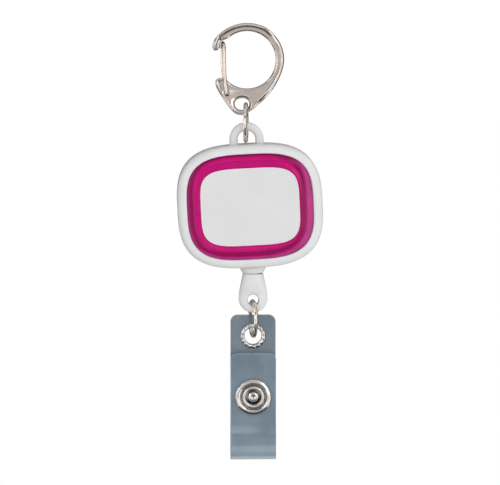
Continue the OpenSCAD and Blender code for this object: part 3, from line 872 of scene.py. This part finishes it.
def strap_line():
    """The strap's middle line, [y, z], from the rear top down round the fold to the front top."""
    middle_y, full = FOLD[1], LOOP_GAP / 2
    bottom = FOLD[2] + 0.215

    closing_from, closing_over = 7.0, 5.5

    def leaf(side, top):
        line = []
        for h in np.arange(full, top - bottom, 0.5):
            closed = smooth((h - closing_from) / closing_over)
            line.append([middle_y + side * (full - (full - LEAF_GAP / 2) * closed), bottom + h])
        return line + [[middle_y + side * LEAF_GAP / 2, top]]

    fold = [[middle_y + full * math.cos(a), bottom + full - full * math.sin(a)]
            for a in np.radians(np.linspace(0, 180, 60))[1:-1]]
    rear = leaf(1, REAR_TOP)[::-1]
    front = leaf(-1, FRONT_TOP)
    return resampled(np.array(rear + fold + front), 0.2, closed=False)


def strap():
    """One strip of vinyl with rounded ends and edges, holed for the eyelet and the snap."""
    line = strap_line()
    ahead = np.gradient(line, axis=0)
    ahead /= np.linalg.norm(ahead, axis=1)[:, None]
    along = np.concatenate([[0], np.cumsum(np.linalg.norm(np.diff(line, axis=0), axis=1))])
    inner = 0.7
    front_edge = [(-1, -1), (-inner, -1), (inner, -1), (1, -1)]
    section = rounded(front_edge + [(x, -y) for x, y in front_edge[::-1]], 0.06)
    rings = []
    near_ends = np.array([0.02, 0.08, 0.18, 0.32, 0.5, 0.75])
    stations = np.unique(np.concatenate([along, near_ends, along[-1] - near_ends]))
    for s in stations:
        y, z = np.interp(s, along, line[:, 0]), np.interp(s, along, line[:, 1])
        ty, tz = np.interp(s, along, ahead[:, 0]), np.interp(s, along, ahead[:, 1])
        half = STRAP_HALF_W
        for left, corner in ((s, REAR_CORNER), (along[-1] - s, FRONT_CORNER)):
            if left < corner:
                half = min(half, STRAP_HALF_W - corner + math.sqrt(corner ** 2 - (corner - left) ** 2))
        edge = np.sign(section[:, 0]) * (half - 1 + np.abs(section[:, 0]))
        off = section[:, 1] * STRAP_T / 2
        rings.append(np.stack([FOLD[0] + edge, y - tz * off, z + ty * off], 1))
    strip = add_mesh("vinyl_strap", np.concatenate(rings), skin(rings))
    holes = [("eyelet_hole", EYELET, 2.675, -1, 1), ("rivet_hole", SNAP, 1.2, -1, 1),
             ("cap_hole", SNAP, 2.55, -5, -1.6)]
    for name, centre, r, near, far in holes:
        place = np.array([FOLD[0], 0, centre[2]])
        cut(strip, lathe(name, [(r, near), (r, far)], place, segments=96, closed=False), sharp=50)
    mark_painted_edge_light(strip)
    dress(strip, VINYL)
    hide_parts("strap_rear_leaf", "strap_front_leaf")
    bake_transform(strip)
    return strip


def mark_painted_edge_light(strip):
    """Marks the points along the strap's cut edges, where the vinyl's colour gets a painted highlight.
    """
    points = np.array([v.co for v in strip.data.vertices]) / MM
    side = STRAP_HALF_W - np.abs(points[:, 0] - FOLD[0])
    front = points[:, 1] < FOLD[1]
    below_top = np.where(front, FRONT_TOP, REAR_TOP) - points[:, 2]
    corner = np.where(front, FRONT_CORNER, REAR_CORNER)
    in_corner = (side < corner) & (below_top < corner)
    to_arc = corner - np.hypot(corner - side, corner - below_top)
    to_edge = np.where(in_corner, to_arc, np.minimum(side, below_top))
    rim_w = 0.12
    # Painted highlight: the vinyl material mixes these points' colour lighter.
    rim = strip.data.attributes.new("rim", "FLOAT", "POINT")
    rim.data.foreach_set("value", (to_edge < rim_w).astype(np.float32))


def crimped(petals, depth):
    """A rolled rim pressed into uneven petals: notches pull the outer edge in and down."""
    places = np.linspace(0, 2 * math.pi, petals, endpoint=False) + rng.uniform(-0.12, 0.12, petals)
    sizes = rng.uniform(0.5, 1.0, petals)

    def shape(r, s, angle):
        away = (angle[:, None] - places[None] + math.pi) % (2 * math.pi) - math.pi
        notch = (sizes * np.exp(-((away / 0.07) ** 2))).max(1)
        outer = max(0.0, min(1.0, (r - 2.5) / 0.7))
        swell = 0.03 * np.sin(petals * angle) * outer
        lift = depth * notch * outer * (1 if s < 0 else -1)
        return r - 0.03 * notch * outer, s + lift + swell
    return shape


def eyelet():
    """The barrel and its rolled front rim."""
    r, face = 2.375, STRAP_T / 2 + 0.02
    profile = [(r, face + 0.5), (r, -face - 0.25), (r + 0.12, -face - 0.42), (r + 0.4, -face - 0.53),
               (r + 0.75, -face - 0.52), (r + 1.05, -face - 0.36), (r + 1.2, -face - 0.16),
               (r + 1.2, -face), (r + 0.27, -face), (r + 0.27, face + 0.5)]
    ring = lathe("eyelet_barrel", rounded(profile, 0.12), EYELET, shape=crimped(15, 0.22))
    stand_in(ring, "strap", PRESSING, "plated_pressing", "strap_eyelet")
    washer_profile = [(r + 0.29, face), (3.6, face), (3.6, face + 0.15), (3.2, face + 0.42),
                      (r + 0.29, face + 0.5)]
    washer = lathe("eyelet_back_ring", rounded(washer_profile, 0.12), EYELET)
    stand_in(washer, "strap", PRESSING, "plated_pressing", "eyelet_washer")


def snap():
    """The four pressings of the snap fastener."""
    centre = np.array([SNAP[0], 0, SNAP[2]])
    face = STRAP_T / 2 + 0.02
    front = -LEAF_GAP - face
    socket = -LEAF_GAP + face

    def pressing(name, profile, body, node, closed=True):
        made = lathe(name, profile, centre, closed=closed)
        stand_in(made, body, PRESSING, "plated_pressing", node)

    cap = [(2.2, front + 0.75), (2.2, front - 0.7), (2.45, front - 0.94), (2.85, front - 0.94),
           (3.15, front - 0.6), (3.35, front - 0.2), (3.55, front - 0.2), (3.7, front - 0.68),
           (4.1, front - 0.9), (4.75, front - 0.8), (5.0, front - 0.58), (5.03, front - 0.25),
           (5.03, front), (2.5, front), (2.5, front + 0.75)]
    pressing("cap_pressing", rounded(cap, 0.14), "strap_flap", "snap_cap")
    cup = [(2.52, socket), (4.8, socket), (4.8, socket + 0.3), (3.6, socket + 1.2), (3.3, socket + 1.35),
           (2.05, socket + 1.35), (2.05, socket + 1.15), (2.52, socket + 1.15)]
    pressing("socket_pressing", rounded(cup, 0.12), "strap_flap", "snap_socket")
    stud = [(1.02, -face), (4.6, -face), (4.6, -face - 0.2), (3.2, -face - 0.42), (1.4, -face - 0.42),
            (1.4, -face - 1.2), (1.65, -face - 1.6), (1.65, -face - 2.4), (1.35, -face - 2.72),
            (1.0, -face - 2.86), (0.72, -face - 2.88), (0.5, -face - 2.7), (0.2, -face - 2.62)]
    stud_top = rounded(stud, 0.16, closed=False)
    inside = [(0.2, -face - 1.4), (1.02, -face - 1.4)]
    pressing("stud_pressing", np.vstack([stud_top, inside]), "strap", "snap_stud")
    rivet = [(0.01, -face - 1.3), (1.0, -face - 1.3), (1.0, face), (5.02, face), (5.02, face + 0.22),
             (4.6, face + 0.6), (3.9, face + 0.82), (2.6, face + 0.95), (0.01, face + 1.0)]
    head = rounded(rivet, 0.2, closed=False)
    pressing("rivet_pressing", head, "strap", "snap_rear_rivet", closed=False)


# ---- Put the parts together ----


def build():
    hook_body()
    hook_gate()
    ring_wire("upper_ring_wire", "upper_ring", "upper_ring", radius=5.02, wire_r=0.6, yaw=-4, seam=60)
    ring_wire("lower_ring_wire", "lower_ring", "lower_ring", radius=4.87, wire_r=0.56, yaw=8, seam=250)
    stand_in(front_shell(), "case", WHITE, "white_shell", "front_shell")
    stand_in(back_shell(), "case", SHADED_WHITE_BACK, "white_shell", "back_shell")
    stand_in(colour_insert(), "case", MAGENTA, "magenta_insert", "colour_insert")
    stand_in(label_panel(), "case", LABEL, "blank_label", "label_panel")
    stand_in(cord_outlet(), "case", WHITE, "white_shell", "cord_outlet")
    stand_in(end_fitting(), "end_fitting", FITTING_WHITE, "white_shell", "end_fitting")
    cord_lead()
    knot("end_knot", "cord_end_knot", "cord_tip", radius=0.93)
    knot("anchor_knot", "cord_anchor_knot", "spool", radius=0.64)
    strap()
    eyelet()
    snap()
    nodes = frame["nodes"]
    dress(nodes["spool_wheel"], ACETAL)
    dress(nodes["mainspring"], STEEL)
    dress(nodes["cord_winding"], CORD)
    dress(nodes["snap_spring"], STEEL)


# ---- Stage, light and camera ----


def floor():
    """A large pale floor, below the strap even when the cord is fully out."""
    size, z = 12.0, -0.78
    corners = [(-size, -size, z), (size, -size, z), (size, size, z), (-size, size, z)]
    ground = add_mesh("floor", np.array(corners) / MM, [(0, 1, 2, 3)])
    s = Surface("pale_floor")
    s.colour(s.ramp(s.noise(400, detail=2), [(0.3, 0.93), (0.7, 0.96)]))
    s.roughness(s.noise(60, detail=3), 0.7, 0.85)
    s.bump(s.noise(5, detail=3), 0.1, 0.2)
    ground.data.materials.append(s.material)


def world():
    made = bpy.data.worlds.new("soft_white")
    made.use_nodes = True
    background = made.node_tree.nodes["Background"]
    background.inputs["Color"].default_value = (1.0, 1.0, 1.0, 1)
    background.inputs["Strength"].default_value = 1.09
    bpy.context.scene.world = made


AIM = Vector((0.0008, 0.0, -0.0509))
CAMERA_DISTANCE = 0.698
CAMERA_LENS = 180
CAMERA_ELEVATION = math.radians(6.5)
CAMERA_AZIMUTH = math.radians(-2)


def area_light(name, place, size, power):
    """A soft rectangular light aimed at the middle of the object."""
    lamp = bpy.data.lights.new(name, "AREA")
    lamp.shape = "RECTANGLE"
    lamp.size, lamp.size_y = size
    lamp.energy = power
    obj = bpy.data.objects.new(name, lamp)
    bpy.context.scene.collection.objects.link(obj)
    obj.location = place
    obj.rotation_euler = (AIM - Vector(place)).to_track_quat("-Z", "Y").to_euler()


def card(name, place, size, colour, shades=False):
    """A glowing panel that shows only in reflections; one that shades also counts in the soft light."""
    w, h = size[0] / 2, size[1] / 2
    mesh = bpy.data.meshes.new(name)
    mesh.from_pydata([(-w, -h, 0), (w, -h, 0), (w, h, 0), (-w, h, 0)], [], [(0, 1, 2, 3)])
    obj = bpy.data.objects.new(name, mesh)
    bpy.context.scene.collection.objects.link(obj)
    obj.location = place
    obj.rotation_euler = (AIM - Vector(place)).to_track_quat("Z", "Y").to_euler()
    material = bpy.data.materials.new(name)
    material.use_nodes = True
    tree = material.node_tree
    tree.nodes.clear()
    glow = tree.nodes.new("ShaderNodeEmission")
    glow.inputs["Color"].default_value = colour + (1,)
    output = tree.nodes.new("ShaderNodeOutputMaterial")
    tree.links.new(glow.outputs[0], output.inputs["Surface"])
    mesh.materials.append(material)
    obj.visible_camera = False
    obj.visible_diffuse = shades
    obj.visible_shadow = False
    obj.visible_transmission = False


def camera():
    lens = bpy.data.cameras.new("camera")
    lens.lens = CAMERA_LENS
    lens.clip_start = 0.01
    obj = bpy.data.objects.new("camera", lens)
    bpy.context.scene.collection.objects.link(obj)
    level = math.cos(CAMERA_ELEVATION)
    side, front = math.sin(CAMERA_AZIMUTH) * level, -math.cos(CAMERA_AZIMUTH) * level
    back = Vector((side, front, math.sin(CAMERA_ELEVATION)))
    obj.location = AIM + back * CAMERA_DISTANCE
    obj.rotation_euler = back.to_track_quat("Z", "Y").to_euler()
    bpy.context.scene.camera = obj


def light():
    """A white world, two soft lights and, for the plated parts to reflect, the panels of a dim room."""
    world()
    area_light("top_light", (0.1, -0.8, 0.62), (0.7, 0.5), 1.0)
    area_light("front_light", (0.1, -1.1, 0.1), (0.9, 0.7), 2.3)
    card("room_front", (-0.1, -1.0, 0.14), (0.66, 0.9), (0.60, 0.56, 0.54))
    card("warm_right", (0.66, -0.9, 0.05), (0.6, 0.7), (0.95, 0.86, 0.75))
    card("room_above", (0.0, -0.75, 0.55), (1.2, 0.32), (0.16, 0.14, 0.125))
    card("streak_left", (-0.6, -0.86, 0.12), (0.08, 0.42), (6.0, 5.6, 5.4))
    card("sheen_right", (0.62, -0.78, 0.5), (0.7, 0.5), (1.5, 1.38, 1.32))
    card("wall_left", (-0.85, 0.12, 0.0), (0.34, 0.7), (2.8, 2.65, 2.5))
    card("room_under", (0.0, -0.8, -0.6), (1.2, 0.34), (0.05, 0.044, 0.04))
    card("room_left", (-1.0, 0.05, 0.0), (1.7, 1.5), (0.30, 0.285, 0.28), shades=True)
    card("room_right", (1.0, 0.15, 0.0), (1.3, 1.5), (0.13, 0.115, 0.105))
    card("room_ceiling", (0.0, -0.05, 1.0), (1.8, 1.7), (0.62, 0.6, 0.59), shades=True)
    card("room_low", (0.0, -0.05, -0.7), (1.3, 1.1), (0.10, 0.09, 0.085))
    card("room_back", (0.0, 1.1, 0.0), (3.0, 2.4), (0.20, 0.185, 0.175))


build()
floor()
light()
camera()
bpy.context.scene.view_settings.view_transform = "Standard"
